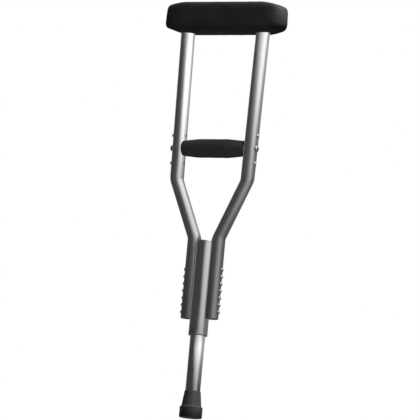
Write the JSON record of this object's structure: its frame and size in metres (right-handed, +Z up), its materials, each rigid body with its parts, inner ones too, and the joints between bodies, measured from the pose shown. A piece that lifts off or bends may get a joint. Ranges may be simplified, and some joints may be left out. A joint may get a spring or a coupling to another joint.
{
  "type": "underarm crutch",
  "caption": "Aluminium underarm crutch with a foam shoulder pad, a foam hand grip and a telescoping leg on a rubber tip.",
  "frame": {"origin": "centre of the rubber tip's sole, on the floor", "axes": "+Z up the leg, +X along the underarm pad and the hand grip, +Y towards the snap button's side"},
  "size_m": [0.2426, 0.0516, 0.7646],
  "materials": {
    "upright_aluminium": "satin",
    "sleeve_aluminium": "satin",
    "leg_aluminium": "satin",
    "rivet_aluminium": "satin",
    "plated_steel": "satin",
    "pad_foam": "matte",
    "grip_foam": "matte",
    "black_plastic": "matte",
    "grey_nylon": "satin",
    "tip_rubber": "matte"
  },
  "bodies": {
    "frame": {"underarm_pad": "pad_foam", "pad_crossbar": "black_plastic", "pad_pin_left": "plated_steel", "pad_pin_right": "plated_steel", "upright_left": "upright_aluminium", "upright_right": "upright_aluminium", "leg_end_plug_left": "black_plastic", "leg_end_plug_right": "black_plastic", "grip_bolt": "plated_steel", "grip_nut": "plated_steel", "grip_washer_left": "plated_steel", "grip_washer_right": "plated_steel", "hole_plug_left_upper": "plated_steel", "hole_plug_left_lower": "plated_steel", "hole_plug_right_upper": "plated_steel", "hole_plug_right_lower": "plated_steel", "leg_sleeve": "sleeve_aluminium", "sleeve_cap": "sleeve_aluminium", "sleeve_bush": "black_plastic", "leg_rivet_left_1": "rivet_aluminium", "leg_rivet_left_2": "rivet_aluminium", "leg_rivet_left_3": "rivet_aluminium", "leg_rivet_left_4": "rivet_aluminium", "leg_rivet_left_5": "rivet_aluminium", "leg_rivet_left_6": "rivet_aluminium", "leg_rivet_left_7": "rivet_aluminium", "leg_rivet_right_1": "rivet_aluminium", "leg_rivet_right_2": "rivet_aluminium", "leg_rivet_right_3": "rivet_aluminium", "leg_rivet_right_4": "rivet_aluminium", "leg_rivet_right_5": "rivet_aluminium", "leg_rivet_right_6": "rivet_aluminium", "leg_rivet_right_7": "rivet_aluminium", "hand_grip": "grip_foam", "grip_tube": "leg_aluminium", "grip_bush_left": "grey_nylon", "grip_bush_right": "grey_nylon"},
    "leg": {"inner_leg": "leg_aluminium", "leg_guide": "grey_nylon", "button_spring": "plated_steel", "rubber_tip": "tip_rubber", "tip_disc": "plated_steel"},
    "button": {"snap_button": "plated_steel"}
  },
  "joints": [
    {"name": "leg_slide", "type": "slide", "parent": "frame", "child": "leg", "axis": [0, 0, 1], "range_m": [-0.039, 0.039]},
    {"name": "button_press", "type": "slide", "parent": "leg", "child": "button", "axis": [0, -1, 0], "range_m": [0, 0.005], "stiffness_N_per_m": 1600, "deforming": ["button_spring"]}
  ]
}
